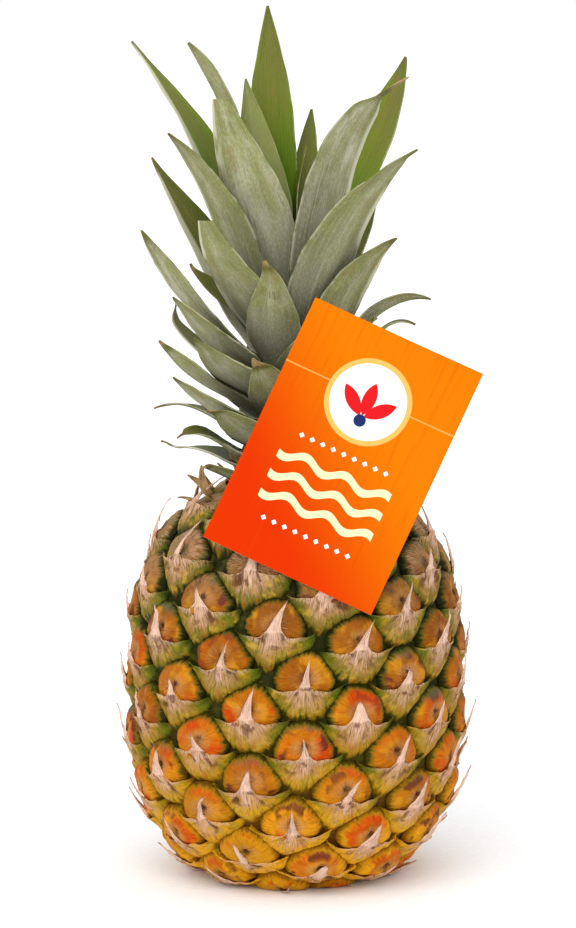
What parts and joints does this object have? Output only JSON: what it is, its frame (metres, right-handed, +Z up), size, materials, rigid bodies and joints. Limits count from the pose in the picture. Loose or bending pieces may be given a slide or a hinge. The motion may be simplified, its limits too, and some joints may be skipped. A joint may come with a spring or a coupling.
{
  "type": "pineapple",
  "caption": "Whole ripe pineapple that stands on its cut base, with a spiny leaf crown and a plain orange card swing tag resting against its shoulder.",
  "frame": {"origin": "on the fruit's axis, at the flat cut base that it stands on", "axes": "+Z up along the fruit towards the crown, -Y to the front, where the tag hangs, +X to the right"},
  "size_m": [0.1266, 0.124, 0.3128],
  "materials": {
    "fruit_rind": "satin",
    "crown_stem": "matte",
    "leaf_outer": "satin",
    "leaf_inner": "satin",
    "tag_card": "satin"
  },
  "bodies": {
    "root": {"fruit": "fruit_rind", "crown_stem": "crown_stem", "leaf_01": "leaf_outer", "leaf_02": "leaf_outer", "leaf_03": "leaf_outer", "leaf_04": "leaf_outer", "leaf_05": "leaf_outer", "leaf_06": "leaf_outer", "leaf_07": "leaf_outer", "leaf_08": "leaf_outer", "leaf_09": "leaf_outer", "leaf_10": "leaf_outer", "leaf_11": "leaf_outer", "leaf_12": "leaf_outer", "leaf_13": "leaf_outer", "leaf_14": "leaf_outer", "leaf_15": "leaf_outer", "leaf_16": "leaf_outer", "leaf_17": "leaf_outer", "leaf_18": "leaf_outer", "leaf_19": "leaf_outer", "leaf_20": "leaf_outer", "leaf_21": "leaf_outer", "leaf_22": "leaf_outer", "leaf_23": "leaf_outer", "leaf_24": "leaf_outer", "leaf_25": "leaf_outer", "leaf_26": "leaf_outer", "leaf_27": "leaf_outer", "leaf_28": "leaf_outer", "leaf_29": "leaf_outer", "leaf_30": "leaf_outer", "leaf_31": "leaf_outer", "leaf_32": "leaf_outer", "leaf_33": "leaf_outer", "leaf_34": "leaf_outer", "leaf_35": "leaf_outer", "leaf_36": "leaf_outer", "leaf_37": "leaf_outer", "leaf_38": "leaf_outer", "leaf_39": "leaf_outer", "leaf_40": "leaf_outer", "leaf_41": "leaf_inner", "leaf_42": "leaf_inner", "leaf_43": "leaf_inner", "leaf_44": "leaf_inner", "leaf_45": "leaf_inner", "leaf_46": "leaf_inner", "leaf_47": "leaf_inner", "leaf_48": "leaf_inner", "tag": "tag_card"}
  },
  "joints": []
}
